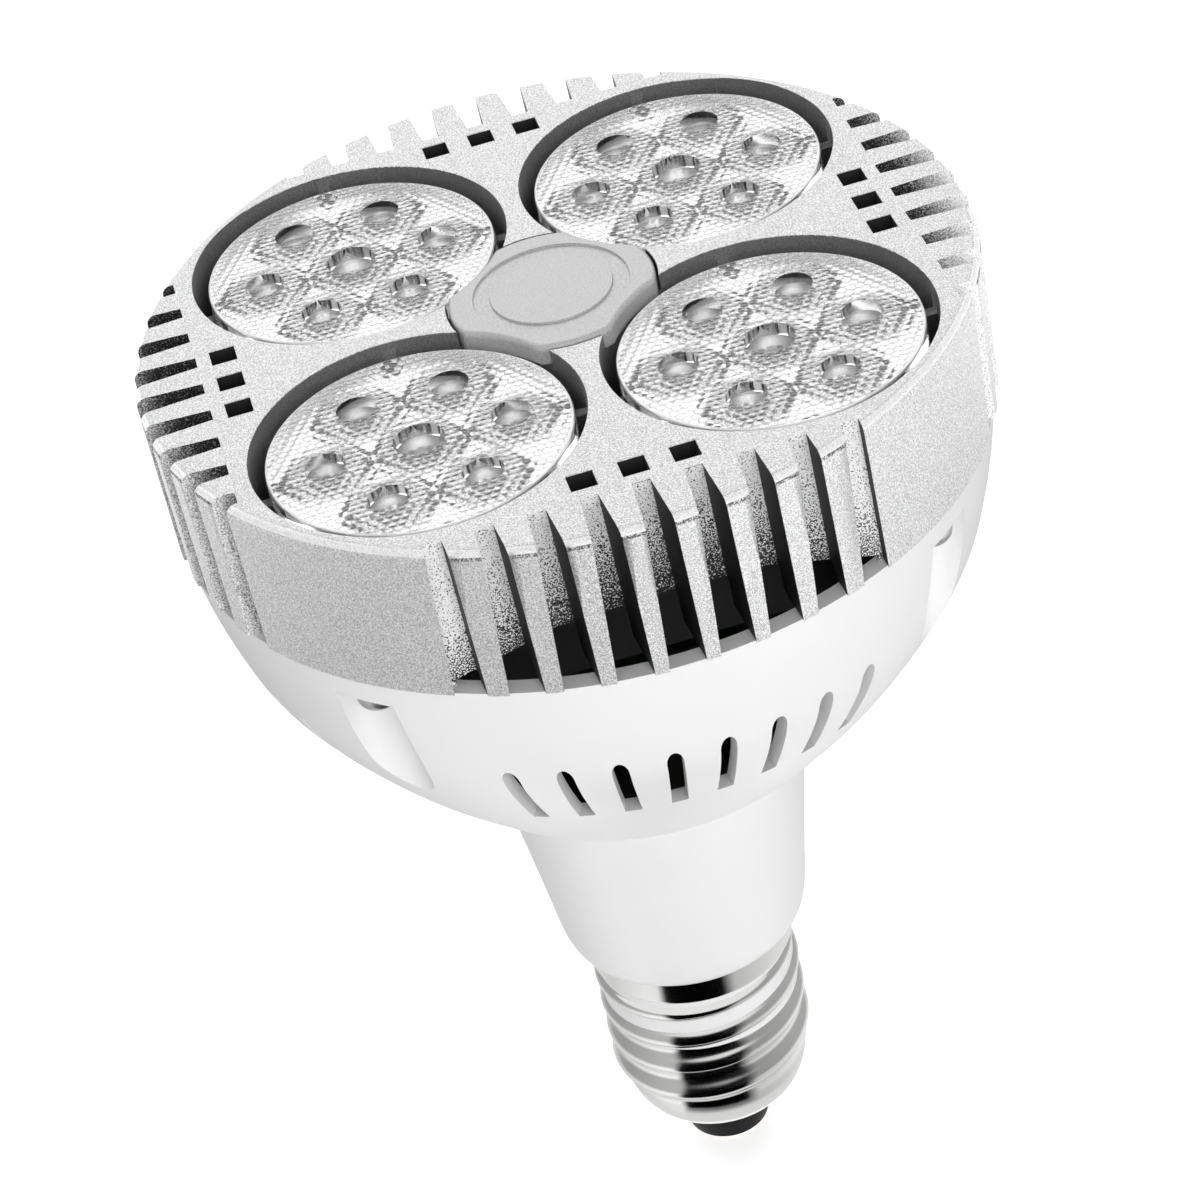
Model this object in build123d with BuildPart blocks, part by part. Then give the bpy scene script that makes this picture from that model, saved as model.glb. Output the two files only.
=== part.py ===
from build123d import *
import os
from math import cos, pi, radians, sin, sqrt

os.makedirs("parts", exist_ok=True)

# Whole bulb: +Z runs up the axis from the tip of the centre contact to the lit face
face_height = 133.0
head_radius = 47.9
head_height = 19.0
location_gap = 0.1
slip_gap = 0.3

# Die-cast head: drum, face plate, four round bays and four groups of parallel fins
face_plate = 3.0
plain_wall = 1.3
bay_count = 4
rim_margin = 1.4
bay_web = 2.4
bay_wall = 1.4
bay_wall_sides = 24
fin_pitch = 5.62
slots_per_group = 9
slot_behind_bay = 1.9
slot_root_width = 2.0
slot_mouth_flare = 0.14
slot_side_draft = 0.5
slot_root_lean = 0.5
back_wall = 1.65
outlet_rise = 4.2
outlet_haunch = 3.7
outlet_spring = 0.7
window_width = 2.9
window_depth = 2.9
window_count = 3
pedestal_lift = 0.6
pedestal_thickness = 3.8
pedestal_gap = 1.8
rib_count = 4
rib_width = 1.4
rib_bite = 0.3
hub_radius = 8.5
hub_socket = 3.4
hub_socket_depth = 6.0

# Hub cap over the wiring in the middle of the face
cap_radius = 11.8
cap_thickness = 2.3
cap_proud = 0.3
cap_overhang = 0.7
plug_length = 4.0

# Optics: clear lens plate with seven pits over seven emitters on a metal-core board
lens_gap = 1.75
lens_sink = 1.1
lens_plate = 2.5
emitter_circle_radius = 10.4
emitters_in_ring = 6
pit_radius = 2.3
centre_pit_radius = 2.9
pit_depth = 1.9
pit_sides = 8
lens_sides = 32
board_thickness = 1.6
board_inset = 0.6
board_sides = 8
emitter_size = 3.4
emitter_height = 1.6

# Screws: eight-sided blanks for shanks, heads and their tapped holes
screw_sides = 8
shank_radius = 1.25
screw_head_radius = 2.5
screw_head_height = 2.0
tapped_gap = 0.05

# Fan under the head
fan_standoff = 4.5
fan_size = 50.0
fan_thickness = 10.0
fan_rim = 1.2
fan_hole_inset = 5.0
fan_hole_radius = 1.7
fan_base_radius = 10.5
fan_base_thickness = 1.5
fan_strut_width = 2.6
fan_strut_count = 3
fan_strut_bite = 0.6
fan_screw_count = 2
fan_sides = 24
bush_radius = 2.6
bush_height = 5.0
shaft_radius = 1.0
bearing_gap = 0.05
post_radius = 3.0
rotor_radius = 11.0
rotor_wall = 1.4
rotor_base_gap = 0.9
rotor_top_gap = 0.6
blade_count = 7
blade_tip_gap = 0.7
blade_thickness = 1.2
blade_sweep = 3.4

# Moulded housing: bowl, neck and the spigot that carries the screw base
housing_sides = 72
rim_step = 0.4
bowl_insets = (1.4, 3.8, 8.0, 20.2)
bowl_drops = (9.5, 17.0, 24.0, 39.0)
neck_top_radius = 19.6
neck_top_drop = 45.4
neck_bottom_radius = 15.7
neck_wall = 1.8
shoulder_edge = (1.4, 2.6)
core_sides = 24
core_wall = 2.5
neck_ledge = 2.0
vents_per_group = 8
vent_spacing = 7.8
vent_width = 1.9
vent_top_drop = 13.3
vent_height = 12.2
pocket_radius = 4.0
pocket_wall = 1.5
pocket_ceiling = 3.5
pocket_inset = 1.9
fixing_inset = 3.5
fixing_boss_radius = 2.8
guide_thickness = 1.3
guide_reach = 1.6
guide_height = 24.0

# Driver in the neck
can_sides = 16
driver_width = 26.0
driver_thickness = 1.6
driver_fan_gap = 8.0
capacitor_radius = 5.0
capacitor_length = 17.0
capacitor_place = (-6.0, 10.0)
transformer_core = (15.0, 12.0, 13.0)
transformer_winding = (11.0, 11.0, 8.0)
transformer_share = 0.4
film_capacitor_size = (13.0, 6.0, 9.5)
film_capacitor_share = 0.18
choke_radius = 4.0
choke_length = 9.0
choke_place = (6.0, 9.0)
rectifier_size = (8.0, 2.6, 6.5)
rectifier_share = 0.41

# Screw base: plated thread sleeve, insulator and centre contact
thread_radius = 13.2
thread_length = 19.0
base_wall = 0.5
collar_length = 4.6
spigot_length = 13.0
spigot_wall = 1.6
base_sides = 40
base_floor = 1.0
thread_depth = 1.0
foot_mouth_radius = 7.6
foot_height = 7.4
foot_curve = ((0.5, 0.2), (0.86, 0.58))
insulator_tip_radius = 5.4
insulator_height = 6.0
insulator_plug_radius = 6.0
contact_radius = 4.4
contact_sides = 20
contact_thickness = 1.4
contact_stem_radius = 1.5

# Heights and radii that follow from those sizes
head_bottom = face_height - head_height
bay_radius = (sqrt(2) * (head_radius - rim_margin) - bay_web) / (2 + sqrt(2))
bay_circle = head_radius - rim_margin - bay_radius
slot_root = bay_circle / sqrt(2) + bay_radius + slot_behind_bay
plenum_half = slot_root - back_wall
pedestal_bottom = head_bottom + pedestal_lift
pedestal_top = pedestal_bottom + pedestal_thickness
pedestal_radius = bay_radius - pedestal_gap
board_radius = pedestal_radius - board_inset
pedestal_flat = pedestal_radius * cos(radians(180 / board_sides))
board_top = pedestal_top + board_thickness
lens_radius = bay_radius - lens_gap
lens_top = face_height - lens_sink
lens_back = lens_top - lens_plate
cap_seat = face_height + cap_proud - cap_thickness
fixing_circle = head_radius - fixing_inset
fan_top = head_bottom - fan_standoff
fan_bottom = fan_top - fan_thickness
fan_bore = fan_size / 2 - fan_rim
fan_hole_span = fan_size - 2 * fan_hole_inset
insulator_bottom = contact_thickness
foot_mouth = insulator_bottom + insulator_height
foot_top = foot_mouth + foot_height
base_top = foot_top + thread_length + collar_length
neck_bottom = base_top
ledge = neck_bottom + neck_ledge
spigot_bottom = neck_bottom - spigot_length
pocket_top = head_bottom - pocket_ceiling
driver_bottom = ledge
driver_top = fan_bottom - driver_fan_gap
driver_height = driver_top - driver_bottom
first_bay_angle = 45.0
bay_angles = [first_bay_angle + 360 / bay_count * index for index in range(bay_count)]


def flat_sided_turning(profile, sides):
    """A turned form in flats: rings of four-cornered faces through (radius, height) points."""
    turns = [2 * pi * side / sides for side in range(sides)]
    rings = [
        [Vector(radius * cos(turn), radius * sin(turn), height) for turn in turns]
        for radius, height in profile
    ]
    outlines = [rings[0], rings[-1]]
    for low, high in zip(rings, rings[1:]):
        outlines += [[low[k - 1], low[k], high[k], high[k - 1]] for k in range(sides)]
    return Solid(Shell([Face(Wire.make_polygon(outline)) for outline in outlines]))


# One fin slot: its side walls flare towards the rim and draft towards the bottom
wall_slope = (slot_mouth_flare / 2, slot_side_draft / head_height)
with BuildPart() as slot_cutter:
    with BuildSketch(Plane.XY.offset(head_bottom - face_plate)):
        with Locations((0, -slot_root)):
            Rectangle(2 * fin_pitch, 2 * rim_margin + 2 * (head_radius - slot_root))
    extrude(amount=head_height + 2 * face_plate)
    split(
        bisect_by=Plane(
            (slot_root_width / 2, -slot_root, face_height),
            z_dir=(1, wall_slope[0], wall_slope[1]),
        ),
        keep=Keep.BOTTOM,
    )
    split(
        bisect_by=Plane(
            (-slot_root_width / 2, -slot_root, face_height),
            z_dir=(-1, wall_slope[0], wall_slope[1]),
        ),
        keep=Keep.BOTTOM,
    )
    split(
        bisect_by=Plane((0, -slot_root, face_height), z_dir=(0, 1, slot_root_lean / head_height)),
        keep=Keep.BOTTOM,
    )

slot_steps = [step - (slots_per_group - 1) / 2 for step in range(slots_per_group)]
slot_places = [
    Rot(0, 0, 360 / bay_count * group) * Pos(fin_pitch * step, 0, 0)
    for group in range(bay_count)
    for step in slot_steps
]
group_half = fin_pitch * (slots_per_group - 1) / 2 + slot_root_width / 2

with BuildPart() as outlet_cutter:
    with BuildSketch(Plane.XZ.offset(plenum_half - back_wall)):
        with BuildLine():
            Polyline(
                (-group_half, head_bottom - face_plate),
                (-group_half, head_bottom + outlet_spring),
                (-group_half / 2, head_bottom + outlet_haunch),
                (0, head_bottom + outlet_rise),
                (group_half / 2, head_bottom + outlet_haunch),
                (group_half, head_bottom + outlet_spring),
                (group_half, head_bottom - face_plate),
                close=True,
            )
        make_face()
    extrude(amount=2 * back_wall)

# Heat sink: one casting with bays, pedestals, ribs, fins and the hub for the wiring
with BuildPart() as heat_sink:
    with BuildSketch(Plane.XY.offset(head_bottom)):
        Circle(head_radius)
    extrude(amount=head_height)
    with BuildSketch(Plane.XY.offset(head_bottom)):
        Circle(head_radius - plain_wall)
        Rectangle(2 * plenum_half, 2 * plenum_half, mode=Mode.INTERSECT)
    extrude(amount=head_height - face_plate, mode=Mode.SUBTRACT)
    with BuildSketch(Plane.XY.offset(pedestal_top)):
        with PolarLocations(bay_circle, bay_count, start_angle=first_bay_angle):
            RegularPolygon(bay_radius + bay_wall, bay_wall_sides)
        Circle(hub_radius)
        Circle(head_radius - plain_wall / 2, mode=Mode.INTERSECT)
        Rectangle(2 * plenum_half + back_wall, 2 * plenum_half + back_wall, mode=Mode.INTERSECT)
    extrude(amount=face_height - face_plate - pedestal_top)
    with BuildSketch(Plane.XY.offset(face_height)):
        with PolarLocations(bay_circle, bay_count, start_angle=first_bay_angle):
            Circle(bay_radius)
    extrude(amount=-head_height, mode=Mode.SUBTRACT)
    with BuildSketch(Plane.XY.offset(pedestal_bottom)):
        with PolarLocations(bay_circle, bay_count, start_angle=first_bay_angle, rotate=False):
            RegularPolygon(pedestal_radius, board_sides, rotation=180 / board_sides)
    extrude(amount=pedestal_thickness)
    with BuildSketch(Plane.XY.offset(pedestal_bottom)):
        with PolarLocations(bay_circle, bay_count, start_angle=first_bay_angle, rotate=False):
            with PolarLocations((pedestal_flat + bay_radius) / 2, rib_count):
                Rectangle(bay_radius - pedestal_flat + 2 * rib_bite, rib_width)
    extrude(amount=lens_back - pedestal_bottom)
    with BuildSketch(Plane.XY.offset(head_bottom)):
        with PolarLocations(fixing_circle, bay_count, start_angle=first_bay_angle):
            RegularPolygon(fixing_boss_radius, screw_sides)
    extrude(amount=pedestal_top - head_bottom)
    with BuildSketch(Plane.XY.offset(fan_top)):
        with GridLocations(fan_hole_span, fan_hole_span, 2, 2):
            RegularPolygon(post_radius, screw_sides)
    extrude(amount=pedestal_bottom - fan_top)
    with Locations(*slot_places):
        add(slot_cutter.part, mode=Mode.SUBTRACT)
    with PolarLocations(0, bay_count):
        add(outlet_cutter.part, mode=Mode.SUBTRACT)
    with BuildSketch(Plane.XY.offset(face_height)):
        with PolarLocations(0, bay_count):
            with Locations((0, plenum_half - window_depth / 2)):
                with GridLocations(fin_pitch, 0, window_count, 1):
                    Rectangle(window_width, window_depth)
    extrude(amount=-face_plate, mode=Mode.SUBTRACT)
    with BuildSketch(Plane.XY.offset(cap_seat)):
        Circle(cap_radius + slip_gap)
    extrude(amount=face_height - cap_seat, mode=Mode.SUBTRACT)
    with BuildSketch(Plane.XY.offset(cap_seat)):
        RegularPolygon(hub_socket, screw_sides)
    extrude(amount=-hub_socket_depth, mode=Mode.SUBTRACT)
    with BuildSketch(Plane.XY.offset(head_bottom)):
        with PolarLocations(fixing_circle, bay_count, start_angle=first_bay_angle):
            RegularPolygon(shank_radius + tapped_gap, screw_sides)
    extrude(amount=pedestal_thickness, mode=Mode.SUBTRACT)
    with BuildSketch(Plane.XY.offset(fan_top)):
        with PolarLocations(fan_hole_span / sqrt(2), fan_screw_count, start_angle=first_bay_angle):
            RegularPolygon(shank_radius + tapped_gap, screw_sides)
    extrude(amount=pedestal_bottom - fan_top, mode=Mode.SUBTRACT)
heat_sink.part.label = "heat_sink"
export_step(heat_sink.part, "parts/heat_sink.step")

# Hub cap: scalloped round the four bays, with a plug below that keeps it from turning
with BuildPart() as hub_cap:
    with BuildSketch(Plane.XY.offset(cap_seat)):
        Circle(cap_radius)
        with PolarLocations(bay_circle, bay_count, start_angle=first_bay_angle):
            Circle(bay_radius - cap_overhang, mode=Mode.SUBTRACT)
    extrude(amount=cap_thickness)
    with BuildSketch(Plane.XY.offset(cap_seat)):
        RegularPolygon(hub_socket - location_gap, screw_sides)
    extrude(amount=-plug_length)
hub_cap.part.label = "hub_cap"
export_step(hub_cap.part, "parts/hub_cap.step")

# One optical cluster in each bay: board on its pedestal, emitters, and the lens plate on the ribs
ring_places = PolarLocations(emitter_circle_radius, emitters_in_ring).locations
for index, angle in enumerate(bay_angles, start=1):
    centre_x = bay_circle * cos(radians(angle))
    centre_y = bay_circle * sin(radians(angle))
    with BuildPart() as led_board:
        with BuildSketch(Plane((centre_x, centre_y, pedestal_top))):
            RegularPolygon(board_radius, board_sides, rotation=180 / board_sides)
        extrude(amount=board_thickness)
    led_board.part.label = f"led_board_{index}"
    export_step(led_board.part, f"parts/led_board_{index}.step")

    with BuildPart() as led_emitters:
        with BuildSketch(Plane((centre_x, centre_y, board_top))):
            with Locations((0, 0), *ring_places):
                Rectangle(emitter_size, emitter_size)
        extrude(amount=emitter_height)
    led_emitters.part.label = f"led_emitters_{index}"
    export_step(led_emitters.part, f"parts/led_emitters_{index}.step")

    with BuildPart() as lens:
        with BuildSketch(Plane((centre_x, centre_y, lens_back))):
            RegularPolygon(lens_radius, lens_sides)
        extrude(amount=lens_plate)
        with BuildSketch(Plane((centre_x, centre_y, lens_top))):
            RegularPolygon(centre_pit_radius, pit_sides)
            with Locations(*ring_places):
                RegularPolygon(pit_radius, pit_sides)
        extrude(amount=-pit_depth, mode=Mode.SUBTRACT)
    lens.part.label = f"lens_{index}"
    export_step(lens.part, f"parts/lens_{index}.step")

# Fan frame: square rim, base on struts and the bush for the rotor's shaft
bush_top = fan_bottom + fan_base_thickness + bush_height
with BuildPart() as fan_frame:
    with BuildSketch(Plane.XY.offset(fan_bottom)):
        Rectangle(fan_size, fan_size)
        RegularPolygon(fan_bore, fan_sides, mode=Mode.SUBTRACT)
        with GridLocations(fan_hole_span, fan_hole_span, 2, 2):
            RegularPolygon(fan_hole_radius, screw_sides, mode=Mode.SUBTRACT)
    extrude(amount=fan_thickness)
    with BuildSketch(Plane.XY.offset(fan_bottom)):
        RegularPolygon(fan_base_radius, fan_sides)
        with PolarLocations((fan_base_radius + fan_bore) / 2, fan_strut_count):
            Rectangle(fan_bore - fan_base_radius + 2 * fan_strut_bite, fan_strut_width)
    extrude(amount=fan_base_thickness)
    with BuildSketch(Plane.XY.offset(fan_bottom + fan_base_thickness)):
        RegularPolygon(bush_radius, screw_sides)
    extrude(amount=bush_height)
    with BuildSketch(Plane.XY.offset(bush_top)):
        Circle(shaft_radius + bearing_gap)
    extrude(amount=-bush_height, mode=Mode.SUBTRACT)
fan_frame.part.label = "fan_frame"
export_step(fan_frame.part, "parts/fan_frame.step")

# Fan rotor: cup, shaft and pitched blades
rotor_bottom = fan_bottom + fan_base_thickness + rotor_base_gap
rotor_top = fan_top - rotor_top_gap
rotor_height = rotor_top - rotor_bottom
blade_tip = fan_bore - blade_tip_gap
blade_span = sqrt(blade_tip**2 - (blade_sweep + blade_thickness) ** 2)
with BuildPart() as fan_rotor:
    with BuildSketch(Plane.XY.offset(rotor_bottom)):
        RegularPolygon(rotor_radius, fan_sides)
    extrude(amount=rotor_height)
    with BuildSketch(Plane.YZ.offset(rotor_radius - rotor_wall / 2)):
        with BuildLine():
            Polyline(
                (-blade_sweep - blade_thickness, rotor_bottom),
                (-blade_sweep, rotor_bottom),
                (blade_sweep + blade_thickness, rotor_top),
                (blade_sweep, rotor_top),
                close=True,
            )
        make_face()
    blade = extrude(amount=blade_span - rotor_radius + rotor_wall / 2)
    for turn in range(1, blade_count):
        add(Rot(0, 0, 360 / blade_count * turn) * blade)
    with BuildSketch(Plane.XY.offset(rotor_bottom)):
        RegularPolygon(rotor_radius - rotor_wall, screw_sides)
    extrude(amount=rotor_height - rotor_wall, mode=Mode.SUBTRACT)
    with BuildSketch(Plane.XY.offset(rotor_top - rotor_wall)):
        Circle(shaft_radius)
    extrude(amount=-(rotor_top - rotor_wall - fan_bottom - fan_base_thickness - bearing_gap))
fan_rotor.part.label = "fan_rotor"
export_step(fan_rotor.part, "parts/fan_rotor.step")

# Long screws up through two corners of the fan into the head's posts
with BuildPart() as fan_screws:
    with BuildSketch(Plane.XY.offset(fan_bottom)):
        with PolarLocations(fan_hole_span / sqrt(2), fan_screw_count, start_angle=first_bay_angle):
            RegularPolygon(screw_head_radius, screw_sides)
    extrude(amount=-screw_head_height)
    with BuildSketch(Plane.XY.offset(fan_bottom)):
        with PolarLocations(fan_hole_span / sqrt(2), fan_screw_count, start_angle=first_bay_angle):
            RegularPolygon(shank_radius, screw_sides)
    extrude(amount=fan_thickness + fan_standoff)
fan_screws.part.label = "fan_screws"
export_step(fan_screws.part, "parts/fan_screws.step")

# Housing: profile corners from the neck up to the rim
rim_radius = head_radius - rim_step
bowl_points = [
    (rim_radius - inset, head_bottom - drop)
    for inset, drop in zip(reversed(bowl_insets), reversed(bowl_drops))
]
rim_point = (rim_radius, head_bottom)
shoulder_points = [
    (neck_bottom_radius - shoulder_edge[0], neck_bottom),
    (neck_bottom_radius, neck_bottom + shoulder_edge[1]),
]
neck_point = (neck_top_radius, head_bottom - neck_top_drop)
land_radius = (thread_radius - base_wall) * cos(pi / base_sides) - location_gap
spigot_bore = land_radius - spigot_wall
pocket_circle = rim_radius - pocket_inset
bore_radius = neck_bottom_radius - neck_wall

core_points = [
    (bore_radius, ledge),
    (neck_top_radius - neck_wall, neck_point[1] + neck_wall),
    *[(radius - core_wall, height) for radius, height in bowl_points],
    (rim_radius - core_wall, head_bottom),
]


with BuildPart() as cavity:
    with BuildSketch(Plane.XY.offset(spigot_bottom)):
        Circle(spigot_bore)
    extrude(amount=ledge - spigot_bottom)
    add(flat_sided_turning(core_points, core_sides))
    with BuildSketch(Plane.XY.offset(head_bottom)):
        with PolarLocations(pocket_circle, bay_count, start_angle=first_bay_angle):
            Circle(pocket_radius + pocket_wall)
    extrude(amount=-neck_top_drop, mode=Mode.SUBTRACT)
    with BuildSketch(Plane.XY.offset(ledge)):
        with Locations((-driver_width / 2, 0), (driver_width / 2, 0)):
            Rectangle(2 * guide_reach, driver_thickness + 2 * slip_gap + 2 * guide_thickness)
    extrude(amount=guide_height, mode=Mode.SUBTRACT)
    with BuildSketch(Plane.XY.offset(ledge)):
        Rectangle(driver_width + 2 * slip_gap, driver_thickness + slip_gap)
    extrude(amount=guide_height)

with BuildPart() as vent_cutter:
    with BuildSketch(Plane.XZ.offset(head_radius / 2)):
        vent_top = head_bottom - vent_top_drop
        with Locations((0, vent_top - vent_height / 2)):
            Rectangle(vent_width, vent_height)
    extrude(amount=head_radius / 2)

vent_places = [
    Rot(0, 0, 360 / bay_count * group + vent_spacing * (step - (vents_per_group - 1) / 2))
    for group in range(bay_count)
    for step in range(vents_per_group)
]

with BuildPart() as housing:
    add(flat_sided_turning([*shoulder_points, neck_point, *bowl_points, rim_point], housing_sides))
    with BuildSketch(Plane.XY.offset(spigot_bottom)):
        Circle(land_radius)
    extrude(amount=spigot_length + neck_ledge)
    add(cavity.part, mode=Mode.SUBTRACT)
    with BuildSketch(Plane.XY.offset(pocket_top)):
        with PolarLocations(pocket_circle, bay_count, start_angle=first_bay_angle):
            Circle(pocket_radius)
    extrude(amount=-neck_top_drop, mode=Mode.SUBTRACT)
    with BuildSketch(Plane.XY.offset(head_bottom)):
        with PolarLocations(fixing_circle, bay_count, start_angle=first_bay_angle):
            RegularPolygon(shank_radius + slip_gap, screw_sides)
    extrude(amount=-pocket_ceiling, mode=Mode.SUBTRACT)
    with Locations(*vent_places):
        add(vent_cutter.part, mode=Mode.SUBTRACT)
housing.part.label = "housing"
export_step(housing.part, "parts/housing.step")

# Screws in the housing's pockets, up into the head's bosses
with BuildPart() as housing_screws:
    with BuildSketch(Plane.XY.offset(pocket_top)):
        with PolarLocations(fixing_circle, bay_count, start_angle=first_bay_angle):
            RegularPolygon(screw_head_radius, screw_sides)
    extrude(amount=-screw_head_height)
    with BuildSketch(Plane.XY.offset(pocket_top)):
        with PolarLocations(fixing_circle, bay_count, start_angle=first_bay_angle):
            RegularPolygon(shank_radius, screw_sides)
    extrude(amount=pocket_ceiling + pedestal_thickness - location_gap)
housing_screws.part.label = "housing_screws"
export_step(housing_screws.part, "parts/housing_screws.step")

# Driver board, upright in the neck's guides, and what it carries
front_face = Plane.XZ.offset(driver_thickness / 2)
back_face = Plane.XZ.offset(-driver_thickness / 2)
with BuildPart() as driver_board:
    with BuildSketch(back_face):
        with Locations((0, driver_bottom + driver_height / 2)):
            Rectangle(driver_width, driver_height)
    extrude(amount=driver_thickness)
driver_board.part.label = "driver_board"
export_step(driver_board.part, "parts/driver_board.step")

with BuildPart() as bulk_capacitor:
    with BuildSketch(front_face):
        with Locations((capacitor_place[0], driver_top - capacitor_place[1])):
            RegularPolygon(capacitor_radius, can_sides)
    extrude(amount=capacitor_length)
bulk_capacitor.part.label = "bulk_capacitor"
export_step(bulk_capacitor.part, "parts/bulk_capacitor.step")

with BuildPart() as transformer:
    with BuildSketch(front_face):
        with Locations((0, driver_bottom + transformer_share * driver_height)):
            Rectangle(transformer_core[0], transformer_core[2])
            Rectangle(transformer_winding[0], transformer_winding[2], mode=Mode.SUBTRACT)
    extrude(amount=transformer_core[1])
    with BuildSketch(front_face):
        with Locations((0, driver_bottom + transformer_share * driver_height)):
            Rectangle(transformer_winding[0], transformer_winding[2])
    extrude(amount=transformer_winding[1])
transformer.part.label = "transformer"
export_step(transformer.part, "parts/transformer.step")

with BuildPart() as film_capacitor:
    with BuildSketch(back_face):
        with Locations((0, driver_bottom + film_capacitor_share * driver_height)):
            Rectangle(film_capacitor_size[0], film_capacitor_size[2])
    extrude(amount=-film_capacitor_size[1])
film_capacitor.part.label = "film_capacitor"
export_step(film_capacitor.part, "parts/film_capacitor.step")

with BuildPart() as choke:
    with BuildSketch(front_face):
        with Locations((choke_place[0], driver_top - choke_place[1])):
            RegularPolygon(choke_radius, can_sides)
    extrude(amount=choke_length)
choke.part.label = "choke"
export_step(choke.part, "parts/choke.step")

with BuildPart() as bridge_rectifier:
    with BuildSketch(back_face):
        with Locations((0, driver_bottom + rectifier_share * driver_height)):
            Rectangle(rectifier_size[0], rectifier_size[2])
    extrude(amount=-rectifier_size[1])
bridge_rectifier.part.label = "bridge_rectifier"
export_step(bridge_rectifier.part, "parts/bridge_rectifier.step")

# Screw base: plated sleeve with a rounded foot, bored with eight sides for the insulator's plug
foot_swell = thread_radius - thread_depth - foot_mouth_radius
with BuildPart() as screw_base:
    with BuildSketch(Plane.XY.offset(foot_top)):
        Circle(thread_radius)
    extrude(amount=base_top - foot_top)
    foot_points = [
        (foot_mouth_radius + swell * foot_swell, foot_mouth + rise * foot_height)
        for swell, rise in ((0, 0), *foot_curve, (1, 1))
    ]
    add(flat_sided_turning(foot_points, base_sides))
    with BuildSketch(Plane.XY.offset(base_top)):
        RegularPolygon(thread_radius - base_wall, base_sides)
    extrude(amount=foot_top + base_floor - base_top, mode=Mode.SUBTRACT)
    with BuildSketch(Plane.XY.offset(foot_mouth)):
        RegularPolygon(insulator_plug_radius + location_gap, screw_sides)
    extrude(amount=foot_height + base_floor, mode=Mode.SUBTRACT)
screw_base.part.label = "screw_base"
export_step(screw_base.part, "parts/screw_base.step")

# Insulator: black cone under the sleeve, with an eight-sided plug up into its foot
with BuildPart() as insulator:
    tip_points = [(insulator_tip_radius, insulator_bottom), (foot_mouth_radius - base_wall, foot_mouth)]
    add(flat_sided_turning(tip_points, base_sides))
    with BuildSketch(Plane.XY.offset(foot_mouth)):
        RegularPolygon(insulator_plug_radius, screw_sides)
    extrude(amount=foot_height)
    with BuildSketch(Plane.XY.offset(insulator_bottom)):
        RegularPolygon(contact_stem_radius + location_gap, screw_sides)
    extrude(amount=insulator_height + foot_height, mode=Mode.SUBTRACT)
insulator.part.label = "insulator"
export_step(insulator.part, "parts/insulator.step")

# Centre contact: a button with a stem up through the insulator
with BuildPart() as contact:
    with BuildSketch(Plane.XY.offset(insulator_bottom)):
        RegularPolygon(contact_radius, contact_sides)
    extrude(amount=-contact_thickness)
    with BuildSketch(Plane.XY.offset(insulator_bottom)):
        RegularPolygon(contact_stem_radius, screw_sides)
    extrude(amount=insulator_height + foot_height)
contact.part.label = "contact"
export_step(contact.part, "parts/contact.step")
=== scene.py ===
from math import atan2, cos, hypot, pi, radians, sin, sqrt

import bmesh
import bpy
from mathutils import Matrix, Vector


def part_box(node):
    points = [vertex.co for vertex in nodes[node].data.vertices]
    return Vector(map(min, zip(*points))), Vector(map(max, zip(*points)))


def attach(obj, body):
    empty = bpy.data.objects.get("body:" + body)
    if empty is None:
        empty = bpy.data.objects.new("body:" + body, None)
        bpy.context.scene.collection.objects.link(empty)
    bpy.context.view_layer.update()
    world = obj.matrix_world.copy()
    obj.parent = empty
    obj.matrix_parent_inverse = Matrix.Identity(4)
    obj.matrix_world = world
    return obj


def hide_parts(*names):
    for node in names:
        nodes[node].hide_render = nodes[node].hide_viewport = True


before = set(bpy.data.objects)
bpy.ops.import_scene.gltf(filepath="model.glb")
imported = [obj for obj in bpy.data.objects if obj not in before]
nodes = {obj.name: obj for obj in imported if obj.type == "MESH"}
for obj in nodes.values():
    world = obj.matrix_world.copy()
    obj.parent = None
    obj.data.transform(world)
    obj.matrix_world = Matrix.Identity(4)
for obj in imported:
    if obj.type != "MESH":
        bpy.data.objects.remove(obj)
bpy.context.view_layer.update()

# Finned head
# One aluminium die casting with the lens bays, fins and bosses, blasted and clear coated.
# The face's outer edge is rounded in the die; the bay walls are darker grey, and painted light and
# shade mark the slots, fin edges, rim and inside.
mm = 0.001
weld = 0.002 * mm
flat_angle = radians(1.0)
crease_angle = radians(32)
sharp_angle = radians(60)
lens_sink = 1.1 * mm
face_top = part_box("lens_1")[1].z + lens_sink
head_radius = 47.9 * mm
rim_margin = 0.1 * mm
rim_round = 1.1 * mm
rim_steps = 4
rim_zone = 1.5 * rim_round
rim_slope = (0.2, 0.97)
edge_round = 0.18 * mm
edge_steps = 2
group_half = 24.5 * mm
slot_root = 40.2 * mm
root_margin = 0.8 * mm
side_margin = 0.5 * mm
fin_edge_slope = (0.05, 0.42)
upright = 0.2
squarely = 0.9
bay_circle = 27.95 * mm
bay_radius = 18.55 * mm
bay_margin = 0.3 * mm
rib_length = 5.5 * mm
blast_grain = 0.16 * mm
slot_grain = 0.18 * mm
# Near black for painted shade in the slots and inside the head.
painted_shade_black = (0.012, 0.012, 0.012)
fade_depth = 0.4


def merged_copy(node):
    """A CAD node's mesh with its corners merged and its flat faces joined."""
    shape = bmesh.new()
    shape.from_mesh(nodes[node].data)
    bmesh.ops.remove_doubles(shape, verts=shape.verts, dist=weld)
    bmesh.ops.dissolve_limit(shape, angle_limit=flat_angle, verts=shape.verts, edges=shape.edges)
    return shape


def round_edges(shape, edges, width, segments):
    """Rounds some edges of a shape."""
    bmesh.ops.bevel(
        shape, geom=edges, offset=width, offset_type="OFFSET", segments=segments,
        profile=0.5, affect="EDGES", material=-1, clamp_overlap=True,
    )


def creased(shape, angle):
    """The edges where a shape turns by more than an angle."""
    return [edge for edge in shape.edges if edge.is_manifold and edge.calc_face_angle() > angle]


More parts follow.
